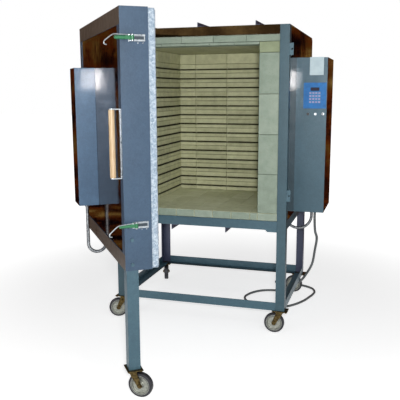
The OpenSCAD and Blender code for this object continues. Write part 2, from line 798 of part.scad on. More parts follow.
module caster_plate()
    difference() {
        union() {
            translate([-caster_plate_l / 2, -caster_plate_w / 2, race_z + race_h])
                cube([caster_plate_l, caster_plate_w, caster_plate_t]);
            translate([0, 0, race_z]) cylinder(r = 28, h = race_h, $fn = 48);
            for (x = [-1, 1], y = [-1, 1])
                translate([x * (caster_plate_l / 2 - 9), y * (caster_plate_w / 2 - 9), race_z + race_h - 5])
                    cylinder(r = 6, h = 5, $fn = 6);
        }
        translate([0, 0, race_z - 1])
            cylinder(r = kingpin_r + run_fit, h = race_h + caster_plate_t - 1, $fn = 48);
    }

// The fork trails along +X
module caster_fork() {
    translate([0, 0, crown_z]) cylinder(r = 25, h = crown_t, $fn = 48);
    translate([0, 0, crown_z]) cylinder(r = kingpin_r, h = crown_t + crown_gap + race_h, $fn = 48);
    for (s = [-1, 1])
        translate([0, s * (hub_w / 2 + fork_gap + fork_t / 2) + fork_t / 2, 0])
            rotate([90, 0, 0]) linear_extrude(fork_t) {
                polygon([[-16, crown_z + crown_t], [-16, crown_z - 4], [trail - 13, axle_z],
                         [trail + 13, axle_z], [24, crown_z - 4], [24, crown_z + crown_t]]);
                translate([trail, axle_z]) circle(r = 13, $fn = 32);
            }
    translate([trail, 0, axle_z]) rotate([90, 0, 0]) {
        cylinder(r = axle_r, h = hub_w + 2 * (fork_gap + fork_t) + 12, center = true, $fn = 32);
        for (s = [-1, 1])
            translate([0, 0, s * (hub_w / 2 + fork_gap + fork_t + 2.5)])
                cylinder(r = 9, h = 5, center = true, $fn = 6);
    }
}

module caster_wheel()
    translate([trail, 0, axle_z]) rotate([90, 0, 0]) rotate_extrude($fn = 96) polygon([
        [axle_r + run_fit, -hub_w / 2], [15, -hub_w / 2], [17, -7], [axle_z * 0.66, -7],
        [axle_z * 0.7, -wheel_w / 2], [axle_z - 6, -wheel_w / 2], [axle_z - 1.5, -wheel_w / 2 + 4],
        [axle_z, -wheel_w / 2 + 9], [axle_z, wheel_w / 2 - 9], [axle_z - 1.5, wheel_w / 2 - 4],
        [axle_z - 6, wheel_w / 2], [axle_z * 0.7, wheel_w / 2], [axle_z * 0.66, 7], [17, 7],
        [15, hub_w / 2], [axle_r + run_fit, hub_w / 2]]);

// Heading of each caster, the way that its wheel trails
head_fr = 180;
head_fl = 200;
head_br = 180;
head_bl = 110;
head_door = 0;

module at_corner(x, y, turn)
    placed() translate([x * (half_w - caster_in), y, 0]) rotate([0, 0, turn]) children();

module at_front_corner(x, turn) at_corner(x, caster_in, turn) children();

module at_rear_corner(x, turn) at_corner(x, stand_d - caster_in, turn) children();

module at_door_leg(turn)
    swung() translate([door_caster[0], door_caster[1], 0]) rotate([0, 0, turn + door_open]) children();

module caster_plates() color("#8a7a4a") {
    for (x = [-1, 1]) {
        at_front_corner(x, 0) caster_plate();
        at_rear_corner(x, 0) caster_plate();
    }
}

module door_caster_plate() color("#8a7a4a") at_door_leg(-door_open) caster_plate();

module fork_fr() color("#5a4422") at_front_corner(1, head_fr) caster_fork();

module fork_fl() color("#5a4422") at_front_corner(-1, head_fl) caster_fork();

module fork_br() color("#5a4422") at_rear_corner(1, head_br) caster_fork();

module fork_bl() color("#5a4422") at_rear_corner(-1, head_bl) caster_fork();

module fork_door() color("#5a4422") at_door_leg(head_door) caster_fork();

module wheel_fr() color("#2a2a30") at_front_corner(1, head_fr) caster_wheel();

module wheel_fl() color("#2a2a30") at_front_corner(-1, head_fl) caster_wheel();

module wheel_br() color("#2a2a30") at_rear_corner(1, head_br) caster_wheel();

module wheel_bl() color("#2a2a30") at_rear_corner(-1, head_bl) caster_wheel();

module wheel_door() color("#2a2a30") at_door_leg(head_door) caster_wheel();

post_left();
post_right();
rear_legs();
stretchers();
base_frame();
bearers();
floor_pan();
side_panel_left();
side_panel_right();
back_panel();
roof_panel();
header();
roof_stiffeners();
brick_floor();
brick_left();
brick_right();
brick_back();
brick_roof();
jambs();
lintel();
backup_board();
elements();
keepers();
hinge_leaves();
control_box();
controller();
display();
keypad();
box_fittings();
toggle();
conduit();
cord_gland();
power_cord();
plug();
caster_plates();
door_shell();
door_panel();
door_fibre();
door_box();
door_conduit();
door_hinges();
grip();
grip_bracket();
latch_bases();
door_leg();
door_caster_plate();
latch_lever_upper();
latch_lever_lower();
latch_hook_upper();
latch_hook_lower();
fork_fr();
fork_fl();
fork_br();
fork_bl();
fork_door();
wheel_fr();
wheel_fl();
wheel_br();
wheel_bl();
wheel_door();
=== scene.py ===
"""Bead annealing kiln: a brick-lined cabinet on an angle-iron stand, its door standing open."""
import json
import math
import random

import bmesh
import bpy
from mathutils import Matrix, Vector, noise


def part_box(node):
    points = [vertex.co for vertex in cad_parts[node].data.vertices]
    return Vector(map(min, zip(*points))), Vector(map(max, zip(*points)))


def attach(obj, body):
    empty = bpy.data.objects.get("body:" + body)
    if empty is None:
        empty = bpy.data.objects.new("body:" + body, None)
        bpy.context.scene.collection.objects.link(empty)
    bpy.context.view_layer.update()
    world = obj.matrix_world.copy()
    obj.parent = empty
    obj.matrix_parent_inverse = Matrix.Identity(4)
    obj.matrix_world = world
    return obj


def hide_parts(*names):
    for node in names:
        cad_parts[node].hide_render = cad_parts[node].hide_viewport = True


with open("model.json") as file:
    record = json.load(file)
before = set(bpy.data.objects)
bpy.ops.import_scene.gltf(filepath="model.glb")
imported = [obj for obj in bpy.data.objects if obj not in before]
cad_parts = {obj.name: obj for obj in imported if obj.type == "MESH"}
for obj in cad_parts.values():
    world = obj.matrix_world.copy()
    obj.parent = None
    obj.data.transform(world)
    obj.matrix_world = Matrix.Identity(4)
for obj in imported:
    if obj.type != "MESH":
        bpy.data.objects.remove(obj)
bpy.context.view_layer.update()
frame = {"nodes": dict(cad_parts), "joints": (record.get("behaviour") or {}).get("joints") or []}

# Camera
# A hand-held camera at standing height, 3.5 m in front of the cabinet and 1.1 m to the
# right of its middle. It looks to the left and a little down.

eye = Vector((1.0792, -3.9055, 1.4353))
yaw, pitch, roll = (math.radians(degrees) for degrees in (16.986, 10.035, -0.236))
sensor_mm, lens_mm = 36, 55.49
ahead = Vector((-math.sin(yaw) * math.cos(pitch), math.cos(yaw) * math.cos(pitch), -math.sin(pitch)))
level_right = Vector((math.cos(yaw), math.sin(yaw), 0))
level_up = level_right.cross(ahead)
right = math.cos(roll) * level_right + math.sin(roll) * level_up
up = math.cos(roll) * level_up - math.sin(roll) * level_right
camera = bpy.data.objects.new("camera", bpy.data.cameras.new("camera"))
camera.matrix_world = Matrix((
    (right.x, up.x, -ahead.x, eye.x),
    (right.y, up.y, -ahead.y, eye.y),
    (right.z, up.z, -ahead.z, eye.z),
    (0, 0, 0, 1)))
camera.data.sensor_width = sensor_mm
camera.data.lens = lens_mm
bpy.context.scene.collection.objects.link(camera)
bpy.context.scene.camera = camera


# Materials and pieces
# Helpers for places, shader nodes and the finishes that several pieces share, and for
# meshes that are drawn here or come from the CAD.

front_y = -0.424  # the cabinet's front face


def from_front(x, y, z):
    """A place in millimetres across, behind the cabinet's front face and above the floor."""
    return Vector((x, y + 1000 * front_y, z)) / 1000


def linear(code):
    """Blender's linear colour for an sRGB code such as 5C7689."""
    parts = [int(code[i:i + 2], 16) / 255 for i in (0, 2, 4)]
    return [c / 12.92 if c <= 0.04045 else ((c + 0.055) / 1.055) ** 2.4 for c in parts] + [1]


def add(material, kind, inputs={}, **settings):
    """Adds a shader node; an input is a value, or the output that feeds it."""
    tree = material.node_tree
    made = tree.nodes.new("ShaderNode" + kind)
    for name, value in settings.items():
        setattr(made, name, value)
    for name, value in inputs.items():
        if isinstance(value, bpy.types.NodeSocket):
            tree.links.new(value, made.inputs[name])
        else:
            made.inputs[name].default_value = value
    return made


def material_named(name):
    material = bpy.data.materials.new(name)
    material.use_nodes = True
    material.node_tree.nodes.clear()
    return material


def coated(material, **inputs):
    """Ends a material with its Principled shader."""
    names = {key.replace("_", " "): value for key, value in inputs.items()}
    shader = add(material, "BsdfPrincipled", names)
    add(material, "OutputMaterial", {"Surface": shader.outputs["BSDF"]})
    return shader


def blended(material, factor, *codes):
    """A colour that runs through the sRGB codes as the factor goes from 0 to 1."""
    ramp = add(material, "ValToRGB", {"Fac": factor})
    stops = ramp.color_ramp.elements
    while len(stops) < len(codes):
        stops.new(0.5)
    for i, code in enumerate(codes):
        stops[i].position = i / (len(codes) - 1)
        stops[i].color = linear(code)
    return ramp.outputs["Color"]


def spots(material, size_mm, place=None, **inputs):
    """Soft noise whose patches are about size_mm across."""
    place = place or add(material, "TexCoord").outputs["Object"]
    made = add(material, "TexNoise", {"Vector": place, "Scale": 1000 / size_mm, "Detail": 3, **inputs})
    return made.outputs["Fac"]


def raised(material, height, depth_mm, **inputs):
    made = add(material, "Bump", {"Height": height, "Distance": depth_mm / 1000, "Strength": 1, **inputs})
    return made.outputs["Normal"]


def spread(material, value, low, high):
    """The value's range from 0.3 to 0.7, where noise mostly lies, mapped to low..high."""
    made = add(material, "MapRange", {"Value": value, "From Min": 0.3, "From Max": 0.7,
                                      "To Min": low, "To Max": high})
    return made.outputs["Result"]


def rubber(name, dark, light, roughness):
    """Moulded rubber: a dull, slightly uneven skin with a wide weak sheen."""
    made = material_named(name)
    cloud = spots(made, 30)
    coated(made, Base_Color=blended(made, spread(made, cloud, 0, 1), dark, light),
           Roughness=spread(made, spots(made, 8), roughness - 0.06, roughness + 0.08),
           Normal=raised(made, spots(made, 1.5), 0.15))
    return made


def smooth_all(mesh):
    mesh.polygons.foreach_set("use_smooth", [True] * len(mesh.polygons))


def mesh_piece(name, made, material, smooth=True):
    """Turns a bmesh into a piece of the kiln."""
    bmesh.ops.recalc_face_normals(made, faces=made.faces)
    mesh = bpy.data.meshes.new(name)
    made.to_mesh(mesh)
    made.free()
    if smooth:
        smooth_all(mesh)
    mesh.materials.append(material)
    piece = bpy.data.objects.new(name, mesh)
    bpy.context.scene.collection.objects.link(piece)
    return piece


def edges_softened(piece, width_mm, turn=35, steps=2):
    """Rounds a piece's edges, as folded and ground edges are, without moving its faces."""
    piece.modifiers.new("joined", "WELD").merge_threshold = 1e-5
    flat = piece.modifiers.new("flat", "DECIMATE")
    flat.decimate_type, flat.angle_limit = "DISSOLVE", math.radians(0.5)
    flat.delimit = {"MATERIAL"}
    bevel = piece.modifiers.new("edges", "BEVEL")
    bevel.width, bevel.segments, bevel.limit_method = width_mm / 1000, steps, "ANGLE"
    bevel.angle_limit = math.radians(turn)
    bevel.use_clamp_overlap = True
    piece.modifiers.new("shading", "WEIGHTED_NORMAL").keep_sharp = True
    return piece


def dress(node, material, width_mm=1.2, turn=35, steps=2):
    """Finishes a CAD piece that keeps its own shape."""
    piece = frame["nodes"][node]
    piece.data.materials.clear()
    piece.data.materials.append(material)
    smooth_all(piece.data)
    if width_mm:
        edges_softened(piece, width_mm, turn, steps)
    return piece


def faced(piece, material, chosen):
    """Gives a second finish to those faces of a piece whose (normal, middle) is chosen."""
    mesh = piece.data
    mesh.materials.append(material)
    for face in mesh.polygons:
        if chosen(face.normal, face.center):
            face.material_index = len(mesh.materials) - 1


def eased(points, steps):
    """The places along a smooth line through the points."""
    line = []
    for i in range(len(points) - 1):
        a, b, c, d = (points[max(0, min(len(points) - 1, i + k))] for k in (-1, 0, 1, 2))
        for j in range(steps):
            t = j / steps
            line.append(0.5 * (2 * b + (c - a) * t + (2 * a - 5 * b + 4 * c - d) * t * t
                               + (3 * b - a - 3 * c + d) * t * t * t))
    return line + [points[-1]]


def swept(line, radius_at, sides):
    """A closed tube round a line; radius_at gives its radius from the distance along it."""
    made = bmesh.new()
    side, before, walked = Vector((0.2, 0.9, 0.1)), None, 0
    for i, place in enumerate(line):
        along = (line[min(i + 1, len(line) - 1)] - line[max(i - 1, 0)]).normalized()
        side = (side - side.dot(along) * along).normalized()
        other = along.cross(side)
        walked += (place - line[i - 1]).length if i else 0
        radius = radius_at(walked)
        ring = [made.verts.new(place + radius * (math.cos(a) * side + math.sin(a) * other))
                for a in (2 * math.pi * k / sides for k in range(sides))]
        if before:
            for k in range(sides):
                made.faces.new((before[k], before[k - 1], ring[k - 1], ring[k]))
        else:
            made.faces.new(ring)
        before = ring
    made.faces.new(before)
    return made


# Power cord
# A heavy rubber-jacketed flex from the control box to a moulded plug. It passes under
# the side stretcher, makes one open loop under the kiln and ends behind a caster.

cord_radius = 0.008
cord_route = [from_front(*p) for p in (
    (651, 430, 672.7), (651, 430, 650), (651, 430, 627), (655, 440, 546), (665, 460, 492),
    (650, 510, 402), (625, 590, 282), (580, 655, 188), (543, 692, 130), (503, 710, 94),
    (458, 722, 62), (410, 745, 34), (356, 768, 14), (302, 772, 8.2), (250, 748, 8.2),
    (207, 702, 8.2), (176, 640, 8.2), (167, 575, 8.2), (190, 512, 8.2), (238, 462, 8.2),
    (310, 430, 8.2), (390, 425, 8.2), (465, 455, 8.2), (530, 530, 8.2), (575, 620, 8.2),
    (600, 700, 8.2), (616, 760, 8.2), (622, 825, 8.2), (602, 888, 8.2), (560, 930, 8.2),
    (514, 950, 9.5), (472, 958, 15), (440, 958, 20), (415, 958, 20), (390, 958, 20))]
cord_line = eased(cord_route, 8)
cord = mesh_piece("power_flex", swept(cord_line, lambda walked: cord_radius, 20),
                  rubber("grey_cord_rubber", "4C5052", "6A6F71", 0.3))
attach(cord, "kiln")
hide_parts("power_cord")
black_rubber = rubber("black_moulded_rubber", "17181B", "2C2E33", 0.5)
for node in ("plug", "cord_gland"):
    dress(node, black_rubber, 1)


# Stand, frame and door shell
# Welded angle iron and folded steel sheet, sprayed together in blue-grey hammertone
# enamel, which dries into small shiny dimples.

door_open = math.radians(53.4)
door_out = Vector((-math.sin(door_open), -math.cos(door_open), 0))
door_middle_z, half_plain_z, facing_over = 1.2095, 0.5075, 0.9


def end_bands(made):
    """1 on the bands across the top and bottom of the door's outward face, and 0 elsewhere."""
    place = add(made, "TexCoord")
    height = add(made, "SeparateXYZ", {"Vector": place.outputs["Object"]}).outputs["Z"]
    lift = add(made, "Math", {0: height, 1: door_middle_z}, operation="SUBTRACT").outputs["Value"]
    off_middle = add(made, "Math", {0: lift}, operation="ABSOLUTE").outputs["Value"]
    at_end = add(made, "Math", {0: off_middle, 1: half_plain_z}, operation="GREATER_THAN")
    outward = add(made, "VectorMath", {0: place.outputs["Normal"], 1: door_out}, operation="DOT_PRODUCT")
    facing = add(made, "Math", {0: outward.outputs["Value"], 1: facing_over}, operation="GREATER_THAN")
    bands = add(made, "Math", {0: at_end.outputs["Value"], 1: facing.outputs["Value"]}, operation="MULTIPLY")
    return bands.outputs["Value"]


def hammertone(name, shade, light, browned=None, **inputs):
    """Hammer-finish enamel: dimples about 5 mm across, drawn 7 mm so that they show.

    browned, where given, marks the places that are drawn grey-brown.
    """
    made = material_named(name)
    cloud = add(made, "MixRGB", {"Fac": 0.35, "Color1": spots(made, 260), "Color2": spots(made, 25)})
    dimples = add(made, "TexVoronoi", {"Vector": add(made, "TexCoord").outputs["Object"],
                                       "Scale": 1000 / 7}, feature="SMOOTH_F1")
    rim = add(made, "MixRGB", {"Fac": 0.2, "Color1": cloud.outputs["Color"],
                               "Color2": dimples.outputs["Distance"]})
    colour = blended(made, spread(made, rim.outputs["Color"], 0, 1), shade, light)
    if browned:
        brown = blended(made, spread(made, cloud.outputs["Color"], 0, 1), "48403A", "62584F")
        banded = add(made, "MixRGB", {"Fac": browned(made), "Color1": colour, "Color2": brown})
        colour = banded.outputs["Color"]
    coated(made, Base_Color=colour, Roughness=spread(made, spots(made, 40), 0.36, 0.48), Metallic=0.1,
           Normal=raised(made, dimples.outputs["Distance"], 0.35), **inputs)
    return made


# One enamel covers all this steel. The copies below differ only in colour, each set to how light or dark its
# parts came out: painted shade on the rear legs, bearers, roof stiffeners and hinges, the posts, the door
# shell and the control box, and painted light on the door box.
blue_enamel = hammertone("blue_hammertone_enamel", "34505E", "486874")
rear_and_hinge_painted_shade_enamel = hammertone("rear_and_hinge_hammertone_painted_shade", "33394E", "434A64")
post_painted_shade_enamel = hammertone("post_hammertone_painted_shade", "2C4650", "3E5C68")
door_painted_shade_enamel = hammertone("door_hammertone_painted_shade", "283E53", "3A526A", end_bands)
box_painted_shade_enamel = hammertone("box_hammertone_painted_shade", "2C4B58", "3C5E6E", Coat_Weight=0.12, Coat_Roughness=0.05)
door_box_painted_light_enamel = hammertone("door_box_hammertone_painted_light", "385470", "4A6A88",
                             Coat_Weight=0.22, Coat_Roughness=0.07)
for node in ("stretchers", "base_frame", "door_leg", "keepers"):
    dress(node, blue_enamel)
for node in ("rear_legs", "bearers", "roof_stiffeners", "hinge_leaves", "door_hinges"):
    dress(node, rear_and_hinge_painted_shade_enamel)
for node in ("post_left", "post_right"):
    dress(node, post_painted_shade_enamel)
dress("door_shell", door_painted_shade_enamel, 2.5, steps=3)
dress("control_box", box_painted_shade_enamel, 2, steps=3)
dress("door_box", door_box_painted_light_enamel, 2, steps=3)


# Polished panels
# Thin steel sheet with a baked dark brown enamel, rolled nearly as bright as a mirror.
# It shows the boxes that stand on it; the mottle of rust, olive and black in its colour is painted reflection
# of what stands round the real kiln.

def polished(name, *codes):
    """Baked enamel on rolled steel: a tinted mirror with a slow ripple, and a cloudy mottle that is painted
    reflection.
    """
    made = material_named(name)
    place = add(made, "TexCoord").outputs["Object"]
    mottle = spots(made, 160, place, Detail=8, Roughness=0.6)
    fine = spots(made, 12, place, Detail=5, Roughness=0.7)
    mottle_painted_reflection = add(made, "MixRGB", {"Fac": 0.3, "Color1": mottle, "Color2": fine}).outputs["Color"]
    coated(made, Base_Color=blended(made, spread(made, mottle_painted_reflection, 0, 1), *codes), Metallic=1.0,
           Roughness=spread(made, spots(made, 60, place), 0.03, 0.1),
           Normal=raised(made, spots(made, 240, place), 1.2))
    return made


# The mottle in this finish is painted reflection of the surroundings, on top of what the sheet really
# reflects.
mirror_painted_reflection = polished("mirror_enamel_painted_reflection", "24120B", "34190E", "442514", "54381E")
for node in ("side_panel_left", "side_panel_right", "back_panel", "roof_panel", "door_panel"):
    dress(node, mirror_painted_reflection, 0.8)
# One side of each box takes the panels' dark brown mirror finish instead of its enamel: painted shade and
# reflection.
faced(frame["nodes"]["control_box"], mirror_painted_reflection, lambda normal, middle: normal.x > facing_over)
faced(frame["nodes"]["door_box"], mirror_painted_reflection, lambda normal, middle: normal.dot(door_out) > facing_over)
# The header strip has the same kind of mirror finish, with a mottle that is painted reflection.
dress("header", polished("header_enamel_painted_reflection", "1C140A", "3A2A18", "5E4A2C"), 0.8)
pan_steel = material_named("mill_finish_steel")
coated(pan_steel, Base_Color=blended(pan_steel, spots(pan_steel, 60), "5C5F64", "7F838A"), Metallic=1.0,
       Roughness=spread(pan_steel, spots(pan_steel, 20), 0.35, 0.55))
dress("floor_pan", pan_steel, 0.6)


# Brick lining
# Soft insulating firebricks, 228.6 x 114.3 x 63.5 mm, sawn and laid dry in straight
# columns. All wall bricks below the top course have a groove for a heating element.

def firebrick(name, *codes):
    """Fired, sawn clay foam: chalky, with a tone of its own and pores of 1 to 3 mm, darkened with painted
    shade.
    """
    made = material_named(name)
    tone = add(made, "Attribute", attribute_name="tone").outputs["Fac"]
    cloud = spots(made, 45, Detail=5)
    mixed = add(made, "MixRGB", {"Fac": 0.5, "Color1": tone, "Color2": spread(made, cloud, 0, 1)})
    pores = add(made, "TexVoronoi", {"Vector": add(made, "TexCoord").outputs["Object"],
                                     "Scale": 1000 / 4.5, "Randomness": 1.0}).outputs["Distance"]
    holes = add(made, "MapRange", {"Value": pores, "From Min": 0.08, "From Max": 0.24})
    colour = blended(made, mixed.outputs["Color"], *codes)
    # The pores take a dark olive colour: painted shade in the holes.
    pores_painted_shade = add(made, "MixRGB", {"Fac": holes.outputs["Result"], "Color1": linear("6E6A4C"),
                                  "Color2": colour})
    coated(made, Base_Color=pores_painted_shade.outputs["Color"], Roughness=0.95,
           Normal=raised(made, holes.outputs["Result"], 0.8, Normal=raised(made, spots(made, 3), 0.6)))
    return made


# The faces inside the grooves are drawn near black: painted shade in the recess.
groove_painted_shade_brick = firebrick("groove_firebrick_painted_shade", "2E2C1C", "3F3D28", "55523A")
grooved_corners = 8


def bricks(name, nodes, material, blocks, seed, chip_mm=1.6):
    """Bricks in one piece: each block is a closed outline in (out, up) and its reach along the wall.

    An outline with a groove has eight corners, and its last three sides are the groove, drawn near black as
    painted shade.
    """
    dice = random.Random(seed)
    made = bmesh.new()
    layer = made.faces.layers.float.new("tone")
    for outline, start, end, to_world in blocks:
        ends = [[made.verts.new(to_world @ Vector((out, along, high))) for out, high in outline]
                for along in (start, end)]
        tone, count = dice.random(), len(outline)
        faces = [made.faces.new(ends[0]), made.faces.new(ends[1][::-1])]
        faces += [made.faces.new((ends[0][k - 1], ends[0][k], ends[1][k], ends[1][k - 1]))
                  for k in range(count)]
        for face in faces:
            face[layer] = tone
        groove_faces = faces[-3:] if count == grooved_corners else []
        for face in groove_faces:
            face.material_index = 1
    bmesh.ops.recalc_face_normals(made, faces=made.faces)
    bmesh.ops.bevel(made, geom=made.edges, offset=chip_mm / 1000, segments=1, affect="EDGES")
    piece = mesh_piece(name, made, material, False)
    piece.data.materials.append(groove_painted_shade_brick)
    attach(piece, "kiln")
    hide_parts(*nodes)
    return piece


course, brick_length, brick_width, roof_width, joint = 0.0635, 0.2286, 0.1143, 0.1374, 0.001
groove_up, groove_h, groove_in, grooved_rows = 0.0275, 0.012, 0.014, 14
floor_bottom, floor_bed, wall_bed, sill = 0.640, 0.686, 0.730, 0.731
cap_bed, ceiling, cap_top, roof_top = 1.6454, 1.690, 1.706, 1.745
chamber_x, wall_x, back_joint_x = 0.365, 0.481, -0.2515
jamb_y, cap_y, lintel_y, slab_y, wall_y, chamber_y, wall_back = (
    front_y + behind for behind in (0.002, 0.003, 0.005, 0.0053, 0.1163, 0.782, 0.8963))


def wall_blocks(columns, thickness, to_world):
    """Grooved courses over columns, under a top course that has no groove."""
    blocks = []
    for row in range(grooved_rows + 1):
        low = (sill + row * course if row else wall_bed) + joint
        high = (sill + (row + 1) * course if row < grooved_rows else ceiling) - joint
        outline = [(0, low), (thickness, low), (thickness, high), (0, high)]
        if row < grooved_rows:
            cut = sill + row * course + groove_up
            outline += [(0, cut + groove_h / 2), (groove_in, cut + groove_h / 2),
                        (groove_in, cut - groove_h / 2), (0, cut - groove_h / 2)]
        for start, end in zip(columns, columns[1:]):
            blocks.append((outline, start + joint, end - joint, to_world))
    return blocks


inner_brick = firebrick("insulating_firebrick", "B0B08E", "C6C6A2", "D6D6B2")
pale_brick = firebrick("pale_firebrick", "8A9888", "9AA898", "AAB6A6")
side_columns = [wall_y] + [chamber_y - brick_length * k for k in (2, 1, 0)]
for side, node in ((1, "brick_right"), (-1, "brick_left")):
    outward = Matrix(((side, 0, 0, side * chamber_x), (0, 1, 0, 0), (0, 0, 1, 0), (0, 0, 0, 1)))
    bricks(node + "_laid", [node], inner_brick,
           wall_blocks(side_columns, wall_x - chamber_x, outward), 11 + side)
backward = Matrix(((0, 1, 0, 0), (1, 0, 0, chamber_y), (0, 0, 1, 0), (0, 0, 0, 1)))
back_columns = [-wall_x] + [back_joint_x + brick_length * k for k in range(3)] + [wall_x]
bricks("brick_back_laid", ["brick_back"], inner_brick,
       wall_blocks(back_columns, wall_back - chamber_y, backward), 21)


def plain(x0, x1, y0, y1, z0, z1):
    """A brick without a groove, from corner to corner in the part's frame."""
    left, right, low, high = x0 + joint, x1 - joint, z0 + joint, z1 - joint
    box = [(left, low), (right, low), (right, high), (left, high)]
    return box, y0 + joint, y1 - joint, Matrix.Identity(4)


floor_rows = [jamb_y + brick_length * k for k in range(4)] + [chamber_y]
floor_columns = [-chamber_x + brick_width * k for k in range(7)] + [chamber_x]
floor_blocks = [plain(a, b, c, d, floor_bed, sill) for c, d in zip(floor_rows, floor_rows[1:])
                for a, b in zip(floor_columns, floor_columns[1:])]
floor_blocks += [plain(-wall_x, -chamber_x, jamb_y, wall_back, floor_bed, wall_bed),
                 plain(chamber_x, wall_x, jamb_y, wall_back, floor_bed, wall_bed),
                 plain(-chamber_x, chamber_x, chamber_y, wall_back, floor_bed, wall_bed),
                 plain(-wall_x, wall_x, slab_y, wall_back, floor_bottom, floor_bed)]
# A lighter copy of the same firebrick for the hearth: painted light on the chamber floor.
hearth_painted_light_brick = firebrick("hearth_firebrick_painted_light", "C6C8A4", "D6D8B6", "E2E4C8")
hearth = bricks("brick_floor_laid", ["brick_floor"], hearth_painted_light_brick, floor_blocks, 31, 1)
faced(hearth, pale_brick, lambda normal, middle: normal.y < -facing_over and middle.y < jamb_y + 0.01)
roof_columns = [-wall_x + roof_width * k for k in range(8)]
roof_rows = [wall_y + brick_length * k for k in range(3)] + [wall_back]
roof_blocks = [plain(a, b, c, d, ceiling, roof_top) for a, b in zip(roof_columns, roof_columns[1:])
               for c, d in zip(roof_rows, roof_rows[1:])]
bricks("brick_roof_laid", ["brick_roof"], inner_brick, roof_blocks, 41)
jamb_sides = ((-wall_x, -chamber_x), (chamber_x, wall_x))
jamb_heights = [wall_bed] + [sill + brick_length * k for k in (1, 2, 3)] + [cap_bed]
jamb_blocks = [plain(*side, jamb_y, wall_y, low, high) for side in jamb_sides
               for low, high in zip(jamb_heights, jamb_heights[1:])]
bricks("jambs_laid", ["jambs"], pale_brick, jamb_blocks, 51, 1.8)
cap_brick = firebrick("cap_firebrick", "8E987A", "9CA686", "ACB494")
cap_blocks = [plain(*side, cap_y, wall_y, cap_bed, cap_top) for side in jamb_sides]
bricks("cap_bricks", ["jambs"], cap_brick, cap_blocks, 52, 1.8)
lintel_blocks, lintel_count = [], 5
for half, low, high in ((wall_x, cap_top, roof_top), (chamber_x, ceiling, cap_top)):
    columns = [-half + 2 * half / lintel_count * k for k in range(lintel_count + 1)]
    lintel_blocks += [plain(a, b, lintel_y, wall_y, low, high) for a, b in zip(columns, columns[1:])]
bricks("lintel_laid", ["lintel"], pale_brick, lintel_blocks, 61)
board = material_named("mineral_board")
coated(board, Base_Color=blended(board, spots(board, 30), "C4C0B0", "DEDACC"), Roughness=0.95,
       Normal=raised(board, spots(board, 4), 0.6))
dress("backup_board", board, 1)


# Heating elements
# Resistance wire wound into an open coil, laid in the grooves of every course from one
# jamb round the back to the other. Firing has turned it dark olive grey.

wire = material_named("oxidised_resistance_wire")
coated(wire, Base_Color=blended(wire, spots(wire, 12), "1A1A10", "33321F"), Metallic=0.3, Roughness=0.8,
       Normal=raised(wire, spots(wire, 1), 0.1))
wire_radius, coil_radius, coil_pitch, steps_a_turn = 0.0011, 0.0030, 0.010, 6
coil_seat, corner_gap, behind_jamb = 0.0043, 0.002, 0.02
coils = bpy.data.curves.new("element_coils", "CURVE")
coils.dimensions, coils.bevel_depth, coils.bevel_resolution = "3D", wire_radius, 0
back_in, side_in, coil_end = chamber_y + groove_in / 2, chamber_x + groove_in / 2, wall_y + behind_jamb
for row in range(grooved_rows):
    z = sill + groove_up + row * course - groove_h / 2 + coil_seat
    stops = [Vector((-side_in, coil_end, z)), Vector((-side_in, back_in, z)),
             Vector((side_in, back_in, z)), Vector((side_in, coil_end, z))]
    places = []
    for start, end in zip(stops, stops[1:]):
        along = (end - start).normalized()
        out, length = along.cross(Vector((0, 0, 1))), (end - start).length - 2 * corner_gap
        count = int(length / coil_pitch * steps_a_turn)
        for k in range(count):
            turn = 2 * math.pi * k / steps_a_turn
            places.append(start + along * (corner_gap + length * k / count)
                          + coil_radius * (math.cos(turn) * out + math.sin(turn) * Vector((0, 0, 1))))
    spline = coils.splines.new("POLY")
    spline.points.add(len(places) - 1)
    spline.points.foreach_set("co", [c for p in places for c in (*p, 1)])
elements = bpy.data.objects.new("element_coils", coils)
coils.materials.append(wire)
bpy.context.scene.collection.objects.link(elements)
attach(elements, "kiln")
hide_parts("elements")


# Door lining
# A blanket of white ceramic fibre pressed into the door's shell. It stands out all
# round, with a torn and slightly crushed edge.

# The door's own pieces are drawn shut, with y = 0 in the cabinet's front face, and this
# swings them open about the hinges.
hinge_x, hinge_out = -0.572, 0.008
door_stands = (Matrix.Translation((hinge_x, front_y - hinge_out, 0)) @ Matrix.Rotation(-door_open, 4, "Z")
               @ Matrix.Translation((-hinge_x, hinge_out, 0)))
wide_lump, small_lump = (28, 0.003), (90, 0.0022)
pressed_in, rounded_in, rounded_width = 0.0012, 0.006, 0.008


def nearest_side(across, upward):
    """Outward from the slab's side edge, or from its top or bottom edge where that is nearer."""
    if abs(across) * 1.1 > abs(upward):
        return Vector((math.copysign(1, across), 0, 0))
    return Vector((0, 0, math.copysign(1, upward)))


